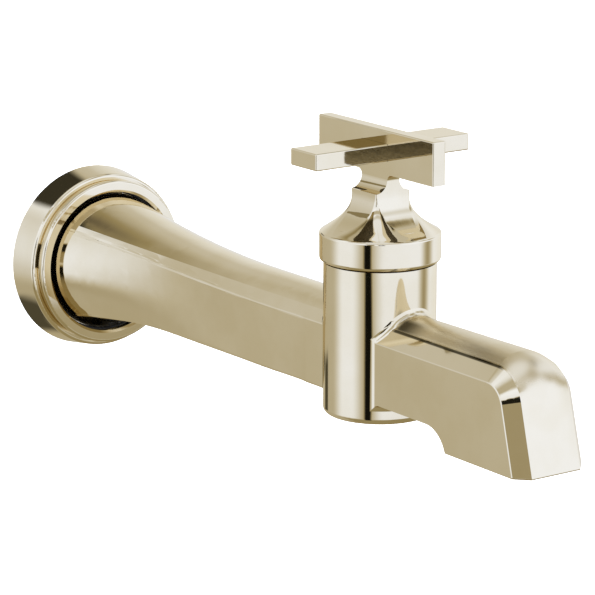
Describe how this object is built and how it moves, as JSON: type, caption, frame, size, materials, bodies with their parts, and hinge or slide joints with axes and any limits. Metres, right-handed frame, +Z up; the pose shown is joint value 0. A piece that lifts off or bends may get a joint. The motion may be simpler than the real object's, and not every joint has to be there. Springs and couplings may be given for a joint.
{
  "type": "wall mounted bath faucet",
  "caption": "Wall mounted bath spout with a stepped round flange, tapering arm, squared angled nose and a cross handle quarter turn valve on top.",
  "frame": {"origin": "middle of the pipe inlet in the plane of the finished wall", "axes": "+Z is up, +Y points into the wall, so the spout runs out along -Y, and X is across"},
  "size_m": [0.0646, 0.2597, 0.105],
  "materials": {
    "polished_nickel": "polished warm nickel plating on cast brass",
    "plain_brass": "machined",
    "black_rubber": "moulded",
    "ceramic": "lapped white ceramic",
    "stainless_steel": "turned",
    "nylon": "moulded natural nylon",
    "outlet_plastic": "moulded grey plastic"
  },
  "bodies": {
    "spout": {"spout_body": "polished_nickel", "wall_flange": "polished_nickel", "wall_gasket": "black_rubber", "flange_o_ring": "black_rubber", "inlet_adapter": "plain_brass", "inlet_o_rings": "black_rubber", "spout_screw": "stainless_steel", "seat_gasket": "black_rubber", "fixed_disc": "ceramic", "cartridge_body": "plain_brass", "cartridge_o_ring": "black_rubber", "thrust_washer": "nylon", "bonnet_nut": "plain_brass", "aerator_gasket": "black_rubber", "aerator_housing": "outlet_plastic", "flow_straightener": "outlet_plastic"},
    "handle": {"moving_disc": "ceramic", "spindle": "plain_brass", "spindle_o_rings": "black_rubber", "spindle_clip": "stainless_steel", "bonnet_ring": "polished_nickel", "glide_ring": "nylon", "handle_hub": "polished_nickel", "cross_bar": "polished_nickel", "handle_insert": "nylon", "handle_screw": "stainless_steel"}
  },
  "joints": [
    {"name": "handle_turn", "type": "hinge", "parent": "spout", "child": "handle", "pos_m": [0, -0.172, 0], "axis": [0, 0, 1], "range_deg": [0, 90]}
  ]
}
